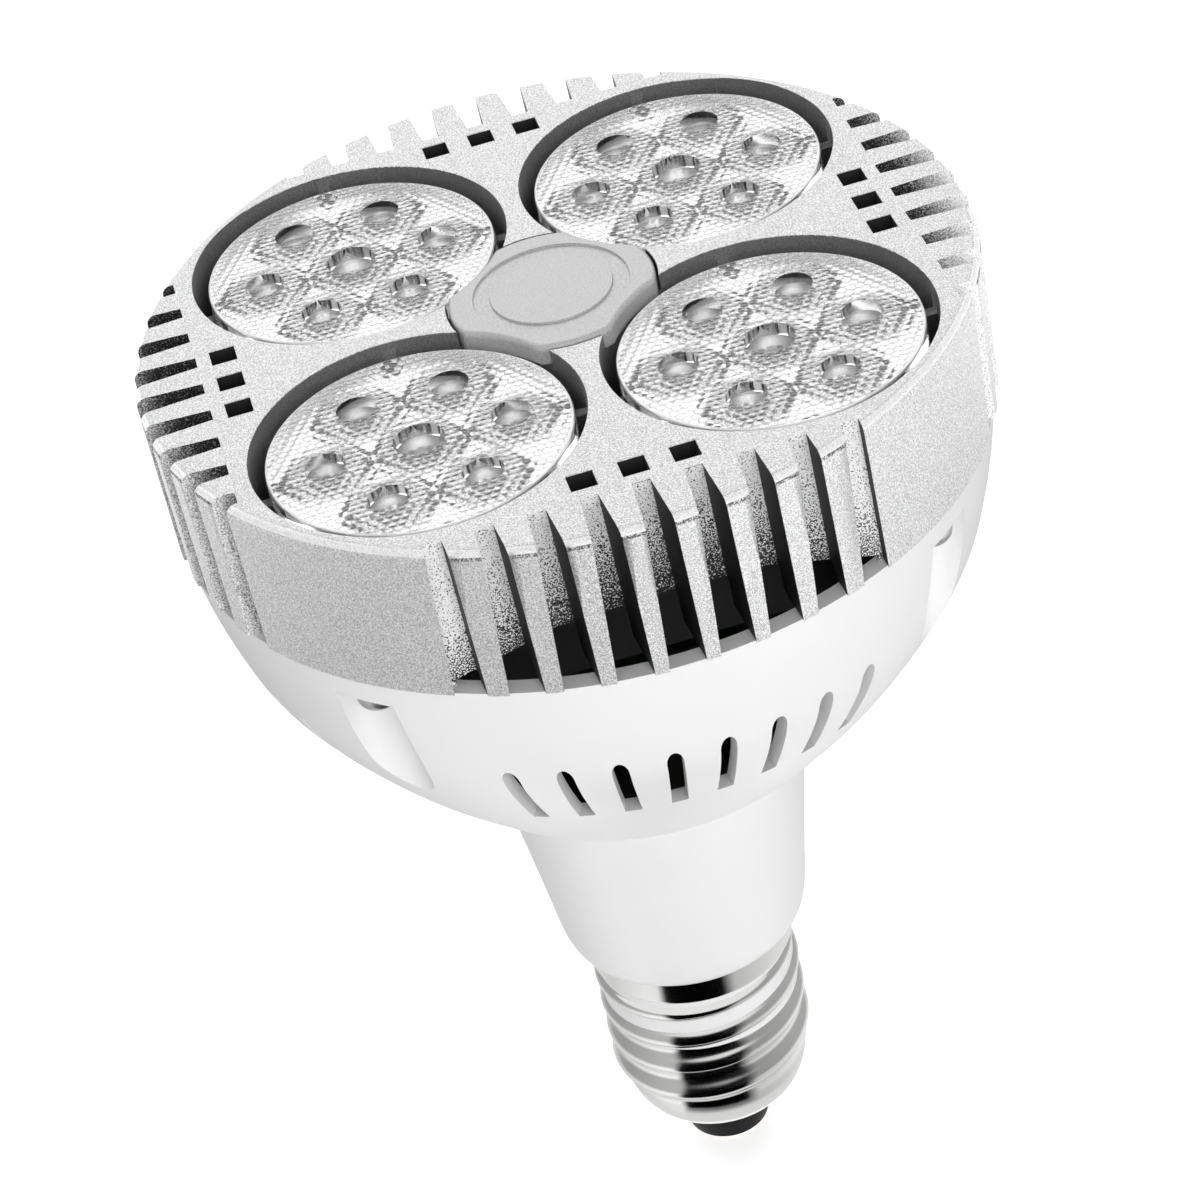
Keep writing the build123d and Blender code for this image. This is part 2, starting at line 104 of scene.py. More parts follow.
def in_top(edge, top):
    """Whether both ends of an edge lie in the flat top at a height."""
    return all(vert.co.z > top - weld for vert in edge.verts)


def from_axis(point):
    """A point's distance from the bulb's axis."""
    return hypot(point.x, point.y)


def diagonal_spots(radius):
    """The four points at a distance from the axis on the diagonals between the groups of fins."""
    turns = [pi / 4 + group * pi / 2 for group in range(4)]
    return [Vector((radius * cos(turn), radius * sin(turn), 0)) for turn in turns]


def mesh_of(name, shape):
    """A mesh made from a shape, which is used up."""
    mesh = bpy.data.meshes.new(name)
    shape.to_mesh(mesh)
    shape.free()
    return mesh


def new_object(name, data):
    """An object that stands in the scene."""
    thing = bpy.data.objects.new(name, data)
    bpy.context.scene.collection.objects.link(thing)
    return thing


def make_piece(name, shape, finishes, node):
    """Turns a shape into a finished piece of the bulb that stands for a CAD node."""
    mesh = mesh_of(name, shape)
    for finish in finishes:
        mesh.materials.append(finish)
    for polygon in mesh.polygons:
        polygon.use_smooth = True
    mesh.set_sharp_from_angle(angle=crease_angle)
    piece = new_object(name, mesh)
    shading = piece.modifiers.new("even_shading", "WEIGHTED_NORMAL")
    shading.keep_sharp = True
    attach(piece, "bulb")
    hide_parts(node)


def grey(level):
    """A grey of a level."""
    return (level, level, level)


def new_finish(name):
    """A material and its Principled shader."""
    finish = bpy.data.materials.new(name)
    finish.use_nodes = True
    return finish, finish.node_tree.nodes["Principled BSDF"]


def object_place(tree):
    """Object coordinates."""
    return tree.nodes.new("ShaderNodeTexCoord").outputs["Object"]


def noise_on(tree, size):
    """Noise of a size on Object coordinates."""
    noise = tree.nodes.new("ShaderNodeTexNoise")
    noise.inputs["Scale"].default_value = 1 / size
    noise.inputs["Detail"].default_value = 2.0
    tree.links.new(object_place(tree), noise.inputs["Vector"])
    return noise.outputs["Fac"]


def math_node(tree, operation, *terms):
    """A Math step on sockets or numbers."""
    node = tree.nodes.new("ShaderNodeMath")
    node.operation = operation
    for socket, term in zip(node.inputs, terms):
        if isinstance(term, (int, float)):
            socket.default_value = term
        else:
            tree.links.new(term, socket)
    return node.outputs[0]


def vector_node(tree, operation, vector, constant=None):
    """A Vector Math step on a socket, with a constant vector or none."""
    node = tree.nodes.new("ShaderNodeVectorMath")
    node.operation = operation
    tree.links.new(vector, node.inputs[0])
    if constant is not None:
        node.inputs[1].default_value = constant
    return node.outputs["Value" if operation in ("DOT_PRODUCT", "LENGTH") else "Vector"]


def map_range(tree, value, start, end, low, high):
    """A level that runs from low to high while a value runs from start to end."""
    node = tree.nodes.new("ShaderNodeMapRange")
    for socket, number in (("From Min", start), ("From Max", end), ("To Min", low), ("To Max", high)):
        node.inputs[socket].default_value = number
    tree.links.new(value, node.inputs["Value"])
    return node.outputs["Result"]


def colour_ramp(tree, value, low, high, dark, light):
    """A colour that runs from dark to light between two values."""
    ramp = tree.nodes.new("ShaderNodeValToRGB")
    ramp.color_ramp.elements[0].position = low
    ramp.color_ramp.elements[1].position = high
    ramp.color_ramp.elements[0].color = (*dark, 1)
    ramp.color_ramp.elements[1].color = (*light, 1)
    tree.links.new(value, ramp.inputs["Fac"])
    return ramp.outputs["Color"]


def add_relief(tree, shader, height, strength, depth):
    """Gives a finish the relief of a height."""
    bump = tree.nodes.new("ShaderNodeBump")
    bump.inputs["Strength"].default_value = strength
    bump.inputs["Distance"].default_value = depth
    tree.links.new(height, bump.inputs["Height"])
    tree.links.new(bump.outputs["Normal"], shader.inputs["Normal"])


def grain_finish(
    name, dark, light, grain, metallic, roughness, relief, contrast, middle=0.5, fade=None,
):
    """A speckled finish on Object coordinates: fine noise in its colour and in its relief.

    With fade, which is a point, axes and two distances from it along them, painted shade darkens it
    towards the first.
    """
    finish, shader = new_finish(name)
    tree = finish.node_tree
    height = noise_on(tree, grain)
    speck = height
    if fade:
        point, axes, start, end = fade
        away = vector_node(tree, "SUBTRACT", object_place(tree), point)
        span = vector_node(tree, "LENGTH", vector_node(tree, "MULTIPLY", away, axes))
        speck = math_node(tree, "ADD", height, map_range(tree, span, start, end, -fade_depth, 0.0))
    colour = colour_ramp(tree, speck, middle - contrast, middle + contrast, dark, light)
    tree.links.new(colour, shader.inputs["Base Color"])
    add_relief(tree, shader, height, relief, grain)
    shader.inputs["Metallic"].default_value = metallic
    shader.inputs["Roughness"].default_value = roughness
    return finish


blasted = grain_finish(
    "blasted_aluminium", (0.38, 0.38, 0.385), (0.78, 0.78, 0.785), blast_grain,
    metallic=0.6, roughness=0.45, relief=0.6, contrast=0.12,
)
# Slot floors: blasted grain on painted light, nearly white, darkening to painted shade towards the
# outlets below.
slot_floor = grain_finish(
    "slot_floor_painted_light_and_shade", painted_shade_black, grey(0.96), slot_grain,
    metallic=0.0, roughness=0.5, relief=0.3, contrast=0.03, middle=0.40,
    fade=((0, 0, 48.5 * mm), (1, 1, 0.65), 55.0 * mm, 67.0 * mm),
)
# Walls of the front and back slots: painted shade, black near the roots and lighter towards the rim,
# over blasted grain.
slot_side = grain_finish(
    "slot_wall_painted_shade", painted_shade_black, grey(0.50), blast_grain,
    metallic=0.2, roughness=0.6, relief=0.3, contrast=0.12, middle=0.52,
    fade=((0, 0, 0), (1, 1, 0), 46.0 * mm, 51.0 * mm),
)
# Walls of the left and right slots: painted shade, black near the roots, turning to painted light,
# nearly white, at the outer ends and more so towards the front.
slot_end = grain_finish(
    "side_slot_wall_painted_light_and_shade", painted_shade_black, grey(0.92), slot_grain,
    metallic=0.1, roughness=0.5, relief=0.3, contrast=0.2, middle=0.34,
    fade=((-1.5 * mm, 8.0 * mm, 0), (1, 0.8, 0), 43.5 * mm, 48.5 * mm),
)
# The bay walls and the ribs under the lenses are a darker grey.
bay_dark = grain_finish(
    "dark_grey_bay", (0.10, 0.10, 0.102), (0.22, 0.22, 0.222), blast_grain,
    metallic=0.3, roughness=0.5, relief=0.2, contrast=0.2,
)
# Faces inside the head behind the bays: near black painted shade.
inside_dark = grain_finish(
    "head_inside_painted_shade", painted_shade_black, grey(0.03), blast_grain,
    metallic=0.0, roughness=0.7, relief=0.2, contrast=0.2,
)
# A painted dark line of shade along the lowest step of each fin's rounded top edge, over blasted
# grain.
fin_edge = grain_finish(
    "fin_edge_painted_shade", grey(0.06), grey(0.62), slot_grain,
    metallic=0.3, roughness=0.5, relief=0.5, contrast=0.08, middle=0.52,
)
# A painted highlight along the rounded rim of the face, over blasted grain.
rim_highlight = grain_finish(
    "rim_painted_highlight", (0.70, 0.70, 0.705), grey(0.95), blast_grain,
    metallic=0.6, roughness=0.4, relief=0.4, contrast=0.12,
)
bay_spots = diagonal_spots(bay_circle)


def head_finish(face):
    """The finish of one of the head's faces, from where it lies and how it points: painted light and
    shade for the slots, fin edges, rim and inside, darker grey for the bays.
    """
    centre = face.calc_center_median()
    normal = face.normal
    aside, reach = sorted((abs(centre.x), abs(centre.y)))
    front_to_back = abs(centre.y) > abs(centre.x)
    out = abs(normal.y if front_to_back else normal.x)
    sideways = abs(normal.x if front_to_back else normal.y)
    stands = abs(normal.z) < upright
    near_top = centre.z > face_top - rim_round
    within_rim = from_axis(centre) < head_radius - rim_round
    if stands and out > squarely and abs(reach - slot_root) < root_margin:
        return slot_floor
    if stands and sideways > squarely and reach > slot_root - side_margin:
        return slot_side if front_to_back else slot_end
    if near_top and fin_edge_slope[0] < normal.z < fin_edge_slope[1] and aside < group_half:
        return fin_edge
    if near_top and rim_slope[0] < normal.z < rim_slope[1] and not within_rim:
        return rim_highlight
    from_bay = min((spot - centre).xy.length for spot in bay_spots)
    if within_rim and from_bay > bay_radius - rib_length and centre.z < face_top - edge_round:
        return bay_dark if from_bay < bay_radius + bay_margin else inside_dark
    return blasted


head = merged_copy("heat_sink")
rim_edges = [
    edge for edge in head.edges
    if in_top(edge, face_top)
    and all(from_axis(vert.co) > head_radius - rim_margin for vert in edge.verts)
]
round_edges(head, rim_edges, rim_round, rim_steps)
top_edges = [
    edge for edge in creased(head, sharp_angle)
    if in_top(edge, face_top)
    and all(from_axis(vert.co) < head_radius - rim_zone for vert in edge.verts)
]
round_edges(head, top_edges, edge_round, edge_steps)
head_finishes = [
    blasted, slot_floor, slot_side, bay_dark, fin_edge, slot_end, inside_dark, rim_highlight,
]
for face in head.faces:
    face.material_index = head_finishes.index(head_finish(face))
make_piece("finned_head", head, head_finishes, "heat_sink")

# Hub cap
# A scalloped cap, moulded in silver plastic, pressed into the socket in the middle of the face.
# Its edges are rounded and a shallow ring is sunk in its top.
cap_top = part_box("hub_cap")[1].z
cap_crease = radians(40)
cap_round = 0.6 * mm
cap_steps = 4
ring_outer = 8.95 * mm
ring_inner = 6.95 * mm
ring_depth = 0.25 * mm
ring_slope = 0.08 * mm
ring_sides = 128
cut_clearance = 1.0 * mm


def turned(outline, steps):
    """A closed outline of (radius, height) points, spun a full turn about the bulb's axis."""
    shape = bmesh.new()
    corners = [shape.verts.new((radius, 0, height)) for radius, height in outline]
    edges = [shape.edges.new((a, b)) for a, b in zip(corners, corners[1:] + corners[:1])]
    bmesh.ops.spin(
        shape, geom=[*corners, *edges], cent=(0, 0, 0), axis=(0, 0, 1), dvec=(0, 0, 0),
        angle=2 * pi, steps=steps, use_merge=True, use_duplicate=False,
    )
    bmesh.ops.remove_doubles(shape, verts=shape.verts, dist=weld)
    bmesh.ops.delete(shape, geom=[edge for edge in shape.edges if edge.is_wire], context="EDGES")
    bmesh.ops.recalc_face_normals(shape, faces=shape.faces)
    return shape


def combine(shape, other, operation):
    """A closed shape joined with another one, or less it."""
    made = [new_object("blank", mesh_of("blank", part)) for part in (shape, other)]
    cut = made[0].modifiers.new("cut", "BOOLEAN")
    cut.operation = operation
    cut.solver = "EXACT"
    cut.object = made[1]
    result = bmesh.new()
    result.from_object(made[0], bpy.context.evaluated_depsgraph_get())
    for thing in made:
        mesh = thing.data
        bpy.data.objects.remove(thing)
        bpy.data.meshes.remove(mesh)
    return result


satin = grain_finish(
    "satin_silver", grey(0.39), (0.56, 0.56, 0.565), blast_grain,
    metallic=0.3, roughness=0.4, relief=0.15, contrast=0.18,
)
cap = merged_copy("hub_cap")
cap_rim = [edge for edge in creased(cap, cap_crease) if in_top(edge, cap_top)]
round_edges(cap, cap_rim, cap_round, cap_steps)
ring_cutter = turned(
    [
        (ring_inner + ring_slope, cap_top - ring_depth),
        (ring_outer - ring_slope, cap_top - ring_depth),
        (ring_outer, cap_top),
        (ring_outer, cap_top + cut_clearance),
        (ring_inner, cap_top + cut_clearance),
        (ring_inner, cap_top),
    ],
    ring_sides,
)
cap = combine(cap, ring_cutter, "DIFFERENCE")
make_piece("hub_cap_ringed", cap, [satin], "hub_cap")

# Emitter boards
# Round-cornered metal-core boards with a pale mask, bonded to the pedestals in the bays.
# Each carries soldered packages with a clear dome over a square base.
board_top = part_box("led_board_1")[1].z
emitter_size = 3.4 * mm
emitter_base = 0.7 * mm
emitter_ring = 10.4 * mm
dome_radius = 1.3 * mm
dome_height = 0.65 * dome_radius
emitter_spots = [(0.0, 0.0)]
emitter_spots += [(emitter_ring * cos(k * pi / 3), emitter_ring * sin(k * pi / 3)) for k in range(6)]


def plain_finish(name, colour, roughness, metallic=0.0, drift=0.06, patch=6 * mm):
    """A moulded or painted finish whose colour drifts a little over the piece."""
    dark = tuple(channel * (1 - drift) for channel in colour)
    return grain_finish(name, dark, colour, patch, metallic, roughness, relief=0.02, contrast=0.3)


def finish_node(node, finish):
    """Gives a CAD node its finish."""
    nodes[node].data.materials.clear()
    nodes[node].data.materials.append(finish)


board_mask = plain_finish("pale_board_mask", (0.90, 0.90, 0.89), 0.5)
package = plain_finish("emitter_package", (0.78, 0.77, 0.70), 0.2)
package_size = Matrix.Diagonal((emitter_size, emitter_size, emitter_base, 1))
dome_size = Matrix.Diagonal((dome_radius, dome_radius, dome_height, 1))
bay_centres = {}
for index in (1, 2, 3, 4):
    finish_node(f"led_board_{index}", board_mask)
    low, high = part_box(f"led_board_{index}")
    bay_centres[index] = (low + high) / 2
    emitters = bmesh.new()
    for x, y in emitter_spots:
        spot = Vector((bay_centres[index].x + x, bay_centres[index].y + y, board_top))
        base = Matrix.Translation(spot + Vector((0, 0, emitter_base / 2)))
        dome = Matrix.Translation(spot + Vector((0, 0, emitter_base)))
        bmesh.ops.create_cube(emitters, size=1, matrix=base @ package_size)
        bmesh.ops.create_uvsphere(
            emitters, u_segments=16, v_segments=8, radius=1, matrix=dome @ dome_size,
        )
    make_piece(f"emitters_{index}", emitters, [package], f"led_emitters_{index}")

# Lenses
# Clear moulded acrylic optics: a plate with seven pits over seven collimators, resting on the ribs.
# Their fronts carry a honeycomb of tiny lenses that breaks up the light.
lens_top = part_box("lens_1")[1].z
lens_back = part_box("lens_1")[0].z
lens_radius = 16.95 * mm
lens_lip = 0.35 * mm
lens_sides = 96
back_slope = 0.05
pit_radius = 2.35 * mm
centre_pit_radius = 2.95 * mm
pit_floor_share = 0.86
pit_depth = 4.0 * mm
pit_sides = 32
collimator_outline = (
    (2.0, 0.9), (2.5, 0.9), (3.7, 3.2), (4.6, 6.0), (5.1, 9.0), (5.1, 9.9), (0, 9.9), (0, 3.1),
    (1.5, 2.9),
)
collimator_sides = 40
acrylic_ior = 1.49
tint_patch = 4 * mm
tint_range = (0.35, 0.6)
honeycomb_pitch = 1.0 * mm
honeycomb_depth = 0.22 * mm
honeycomb_fall = 3.0
honeycomb_range = (0.2, 0.45)


def add_cone(shape, x, y, low, high, low_radius, high_radius, sides):
    """Adds a closed cone or cylinder between two heights."""
    place = Matrix.Translation((x, y, (low + high) / 2))
    bmesh.ops.create_cone(
        shape, cap_ends=True, cap_tris=False, segments=sides,
        radius1=low_radius, radius2=high_radius, depth=high - low, matrix=place,
    )


def add_shape(shape, other):
    """Adds another shape, which is used up, to a shape."""
    mesh = mesh_of("blank", other)
    shape.from_mesh(mesh)
    bpy.data.meshes.remove(mesh)


def split_axes(tree, vector):
    """A vector's parts along the axes."""
    split = tree.nodes.new("ShaderNodeSeparateXYZ")
    tree.links.new(vector, split.inputs[0])
    return split.outputs


def honeycomb_height(tree, pitch):
    """Height of a six-sided pattern of domes, from two rectangular lattices set half a step apart."""
    axes = split_axes(tree, object_place(tree))
    squares = []
    for shift in (0.0, 0.5):
        sums = []
        for axis, step in (("X", pitch), ("Y", pitch * sqrt(3))):
            cells = math_node(tree, "MULTIPLY_ADD", axes[axis], 1 / step, shift)
            within = math_node(tree, "SUBTRACT", math_node(tree, "FRACT", cells), 0.5)
            span = math_node(tree, "MULTIPLY", within, step / pitch)
            sums.append(math_node(tree, "MULTIPLY", span, span))
        squares.append(math_node(tree, "ADD", *sums))
    nearest = math_node(tree, "MINIMUM", *squares)
    return math_node(tree, "SUBTRACT", 1.0, math_node(tree, "MULTIPLY", nearest, honeycomb_fall))


def acrylic(name, clarity, roughness, mirror=0.0):
    """Clear moulded acrylic; the collimators' flanks throw light back like a mirror."""
    finish, shader = new_finish(name)
    tree = finish.node_tree
    tint = colour_ramp(tree, noise_on(tree, tint_patch), *tint_range, grey(0.94), grey(0.99))
    tree.links.new(tint, shader.inputs["Base Color"])
    shader.inputs["Roughness"].default_value = roughness
    shader.inputs["IOR"].default_value = acrylic_ior
    shader.inputs["Transmission Weight"].default_value = clarity
    shader.inputs["Metallic"].default_value = mirror
    return finish


clear = acrylic("clear_acrylic", 1.0, 0.03)
collimator_back = acrylic("collimator_acrylic", 0.0, 0.12, mirror=1.0)
plate_back = acrylic("plate_back_acrylic", 0.0, 0.25, mirror=1.0)
pit_floor = acrylic("pit_floor_acrylic", 0.55, 0.3)
lens_edge = acrylic("lens_edge_acrylic", 0.2, 0.2)
honeycomb = acrylic("honeycomb_acrylic", 1.0, 0.04)
comb_tree = honeycomb.node_tree
comb_shader = comb_tree.nodes["Principled BSDF"]
comb_height = honeycomb_height(comb_tree, honeycomb_pitch)
comb_clarity = colour_ramp(comb_tree, comb_height, *honeycomb_range, grey(0.3), grey(0.82))
add_relief(comb_tree, comb_shader, comb_height, 1.0, honeycomb_depth)
comb_tree.links.new(comb_clarity, comb_shader.inputs["Transmission Weight"])


def lens_finish(face, centre):
    """The finish of one of the faces of the lens around a bay's centre."""
    spot = face.calc_center_median()
    if face.normal.z > squarely and spot.z > lens_top - weld:
        return honeycomb
    if face.normal.z < back_slope and spot.z < lens_back + weld:
        return collimator_back if spot.z < lens_back - weld else plate_back
    if face.normal.z > squarely and abs(spot.z - lens_top + pit_depth) < weld:
        return pit_floor
    if (spot - centre).xy.length > lens_radius - lens_lip and spot.z > lens_top - lens_lip:
        return lens_edge
    return clear


lens_finishes = [clear, honeycomb, collimator_back, lens_edge, plate_back, pit_floor]
for index, centre in bay_centres.items():
    plate = bmesh.new()
    add_cone(plate, centre.x, centre.y, lens_back, lens_top, lens_radius, lens_radius, lens_sides)
    lip_edges = [edge for edge in creased(plate, sharp_angle) if in_top(edge, lens_top)]
    round_edges(plate, lip_edges, lens_lip, edge_steps)
    pits = bmesh.new()
    collimators = bmesh.new()
    for spot, (x, y) in enumerate(emitter_spots):
        radius = pit_radius if spot else centre_pit_radius
        add_cone(
            pits, centre.x + x, centre.y + y, lens_top - pit_depth, lens_top + cut_clearance,
            radius * pit_floor_share, radius, pit_sides,
        )
        collimator = turned(
            [(r * mm, board_top + z * mm) for r, z in collimator_outline], collimator_sides,
        )
        bmesh.ops.translate(
            collimator, verts=collimator.verts, vec=(centre.x + x, centre.y + y, 0),
        )
        add_shape(collimators, collimator)
    lens = combine(combine(plate, collimators, "UNION"), pits, "DIFFERENCE")
    for face in lens.faces:
        face.material_index = lens_finishes.index(lens_finish(face, centre))
    make_piece(f"optic_{index}", lens, lens_finishes, f"lens_{index}")

# Fan
# A square fan with a moulded frame and rotor, both black, held under the head by two long screws.
# The rotor's shaft runs in the frame's bush.
fan_black = plain_finish("fan_black", (0.035, 0.035, 0.037), 0.45)
screw_steel = plain_finish("zinc_screw", (0.62, 0.62, 0.63), 0.3, metallic=1.0)
finish_node("fan_frame", fan_black)
finish_node("fan_rotor", fan_black)
finish_node("fan_screws", screw_steel)

# Housing
# The bowl and neck are one satin white moulding, pulled up to the head by screws in four pockets.
# Rows of arched vents let the fan's air in above the neck.
bowl_outline = (
    (47.5, 114.0), (46.6, 108.0), (45.5, 103.0), (44.0, 98.0), (41.35, 93.0), (38.1, 88.0),
    (34.4, 83.0), (30.1, 78.0), (25.4, 73.0), (19.6, 68.6),
)
neck_outline = ((19.6, 68.6), (18.05, 58.0), (16.7, 48.0), (15.9, 41.8), (15.2, 39.4), (14.3, 38.4))
spigot_outline = ((12.6, 38.4), (12.6, 25.4), (0, 25.4))
bore_outline = ((13.9, 40.4), (11.0, 40.4), (11.0, 24.0), (0, 24.0))
bowl_high = 114.0
hollow_high = 115.0
bowl_wall = 2.2
hollow_low = 42.0
facing_in = -0.5
curve_steps = 4
bowl_sides = 192
hollow_sides = 96
vent_count = 8
vent_spacing = radians(7.8)
vent_width = 1.9 * mm
vent_top = 100.7 * mm
vent_bottom = 88.5 * mm
vent_start = 26 * mm
vent_reach = 30 * mm
arch_steps = 8
pocket_radius = 4.0 * mm
pocket_circle = 45.6 * mm
pocket_top = 110.5 * mm
pocket_bottom = 70 * mm
pocket_wall = 1.5 * mm
pocket_wall_top = 120 * mm
pocket_sides = 48


def smooth_line(points, steps):
    """Points along a smooth line that passes through a few given ones."""
    line = []
    ends = [points[0], *points, points[-1]]
    for before, start, end, after in zip(ends, ends[1:], ends[2:], ends[3:]):
        for k in range(steps):
            t = k / steps
            line.append(tuple(
                0.5 * (2 * b + (c - a) * t + (2 * a - 5 * b + 4 * c - d) * t * t
                       + (3 * b - a - 3 * c + d) * t ** 3)
                for a, b, c, d in zip(before, start, end, after)
            ))
    return [*line, points[-1]]


def in_metres(outline):
    """An outline whose points are given in millimetres."""
    return [(radius * mm, height * mm) for radius, height in outline]


def add_pockets(shape, high, radius):
    """Adds a cylinder at each of the four screw pockets."""
    for spot in diagonal_spots(pocket_circle):
        add_cone(shape, spot.x, spot.y, pocket_bottom, high, radius, radius, pocket_sides)


white = plain_finish("satin_white", grey(0.87), 0.32, drift=0.015, patch=9 * mm)
# The inside of the white moulding above the neck is painted near black: painted shade.
inside_shade = plain_finish("housing_inside_painted_shade", grey(0.03), 0.6, drift=0.2)
outer = smooth_line(bowl_outline, curve_steps) + smooth_line(neck_outline, curve_steps)[1:]
inner = [(radius - bowl_wall, height) for radius, height in outer if height > hollow_low]
mouth_outline = ((0, hollow_high), (inner[0][0], hollow_high))
bowl = turned(in_metres([(0, bowl_high), *outer, *spigot_outline]), bowl_sides)
hollow = turned(in_metres([*mouth_outline, *inner, *bore_outline]), hollow_sides)
pocket_walls = bmesh.new()
add_pockets(pocket_walls, pocket_wall_top, pocket_radius + pocket_wall)
bowl = combine(bowl, combine(hollow, pocket_walls, "DIFFERENCE"), "DIFFERENCE")
vent_arch = [
    (vent_width / 2 * cos(k * pi / arch_steps),
     vent_top - vent_width + vent_width * sin(k * pi / arch_steps))
    for k in range(arch_steps + 1)
]
vent_outline = [(-vent_width / 2, vent_bottom), (vent_width / 2, vent_bottom), *vent_arch]
cutters = bmesh.new()
for group in range(4):
    for step in range(vent_count):
        turn = group * pi / 2 + vent_spacing * (step - (vent_count - 1) / 2)
        corners = [cutters.verts.new((x, -vent_start, z)) for x, z in vent_outline]
        slab = bmesh.ops.extrude_face_region(cutters, geom=[cutters.faces.new(corners)])
        moved = [v for v in slab["geom"] if isinstance(v, bmesh.types.BMVert)]
        bmesh.ops.translate(cutters, verts=moved, vec=(0, -vent_reach, 0))
        bmesh.ops.rotate(
            cutters, verts=[*corners, *moved], cent=(0, 0, 0), matrix=Matrix.Rotation(turn, 3, "Z"),
        )
add_pockets(cutters, pocket_top, pocket_radius)
bmesh.ops.recalc_face_normals(cutters, faces=cutters.faces)
bowl = combine(bowl, cutters, "DIFFERENCE")
bowl_finishes = [white, inside_shade]
# Inward-facing faces above the neck take the painted shade.
for face in bowl.faces:
    centre = face.calc_center_median()
    looks_in = face.normal.xy.dot(centre.xy.normalized()) < facing_in
    if looks_in and centre.z > hollow_low * mm:
        face.material_index = bowl_finishes.index(inside_shade)
make_piece("bowl_housing", bowl, bowl_finishes, "housing")

# Housing screws
# Four zinc-plated pan-head screws deep in the pockets, up into the head's bosses.
# Their heads have a cross recess for the driver.
screw_low, screw_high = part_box("housing_screws")
screw_circle = 44.4 * mm
screw_sides = 32
screw_head = ((0, 0), (1.5, 0), (2.1, 0.25), (2.4, 0.7), (2.5, 1.3), (2.5, 2.0), (1.25, 2.0))
shank_radius = 1.25 * mm
shank_high = screw_high.z - screw_low.z
screw_outline = [*in_metres(screw_head), (shank_radius, shank_high), (0, shank_high)]
recess_size = Matrix.Diagonal((0.7 * mm, 2.8 * mm, 2.0 * mm, 1))
screw_spots = [spot + Vector((0, 0, screw_low.z)) for spot in diagonal_spots(screw_circle)]
screws = bmesh.new()
for spot in screw_spots:
    screw = turned(screw_outline, screw_sides)
    bmesh.ops.translate(screw, verts=screw.verts, vec=spot)
    add_shape(screws, screw)
for arm in (0, pi / 2):
    recesses = bmesh.new()
    for spot in screw_spots:
        place = Matrix.Translation(spot) @ Matrix.Rotation(arm, 4, "Z")
        bmesh.ops.create_cube(recesses, size=1, matrix=place @ recess_size)
    screws = combine(screws, recesses, "DIFFERENCE")
make_piece("pan_screws", screws, [screw_steel], "housing_screws")

# Driver
# A green board stands in the neck's guides with the supply's wound and soldered parts on it.
# They are a sleeved can, a taped transformer, an epoxy box, a sleeved choke and a rectifier.
driver_finishes = {
    "driver_board": plain_finish("green_mask", (0.012, 0.05, 0.022), 0.45),
    "bulk_capacitor": plain_finish("can_sleeve", (0.05, 0.05, 0.07), 0.35),
    "transformer": plain_finish("ferrite_and_tape", (0.14, 0.13, 0.12), 0.6),
    "film_capacitor": plain_finish("epoxy_box", (0.62, 0.44, 0.06), 0.35),
    "choke": plain_finish("shrink_sleeve", grey(0.03), 0.4),
    "bridge_rectifier": plain_finish("rectifier_black", grey(0.03), 0.5),
}
for node, finish in driver_finishes.items():
    finish_node(node, finish)

# Screw base
# A nickel-plated sleeve, drawn from sheet with a rolled right-hand thread, crimped to the neck.
# Its foot is drawn in to a rounded end that closes on the insulator.
base_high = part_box("screw_base")[1].z / mm
crest = 13.2
root = 12.25
thread_pitch = 4.75
thread_low = 14.6
thread_high = 33.8
thread_fade = 1.8
collar_low = 33.2
collar_step = 1.0
foot_outline = ((7.6, 7.4), (7.8, 7.5), (9.2, 8.2), (10.7, 9.9), (11.7, 12.0), (root, thread_low))
foot_steps = 5
foot_inside = ((6.9, 8.8), (6.9, 7.4))
sheet = 0.6
base_rows = 150
base_sides = 160
sheen_patch = mm / 0.22
sheen_roughness = (0.08, 0.18)


def share_of(value):
    """A value held between nought and one."""
    return min(1, max(0, value))


nickel, nickel_shader = new_finish("bright_nickel")
nickel_tree = nickel.node_tree
sheen = map_range(nickel_tree, noise_on(nickel_tree, sheen_patch), 0.0, 1.0, *sheen_roughness)
nickel_tree.links.new(sheen, nickel_shader.inputs["Roughness"])
nickel_shader.inputs["Base Color"].default_value = (0.80, 0.795, 0.785, 1)
nickel_shader.inputs["Metallic"].default_value = 1.0
sleeve_high = base_high - thread_low
sleeve_rows = [(root, thread_low + sleeve_high * k / base_rows) for k in range(base_rows + 1)]
sleeve_inside = ((root - sheet, base_high), (root - sheet, thread_low + sheet))
foot_rows = smooth_line(foot_outline, foot_steps)[:-1]
sleeve_outline = [*foot_rows, *sleeve_rows, *sleeve_inside, *foot_inside]
sleeve = turned(in_metres(sleeve_outline), base_sides)
for vert in sleeve.verts:
    height = vert.co.z / mm
    if abs(from_axis(vert.co) - root * mm) < weld and height > thread_low:
        turn = atan2(vert.co.y, vert.co.x) / (2 * pi)
        wave = 0.5 + 0.5 * cos(2 * pi * (height / thread_pitch - turn))
        rise = share_of((height - thread_low) / thread_fade)
        rise *= share_of((thread_high - height) / thread_fade)
        collar = share_of((height - collar_low) / collar_step)
        scale = (root + (crest - root) * max(wave * rise, collar)) / root
        vert.co.x *= scale
        vert.co.y *= scale
make_piece("threaded_sleeve", sleeve, [nickel], "screw_base")

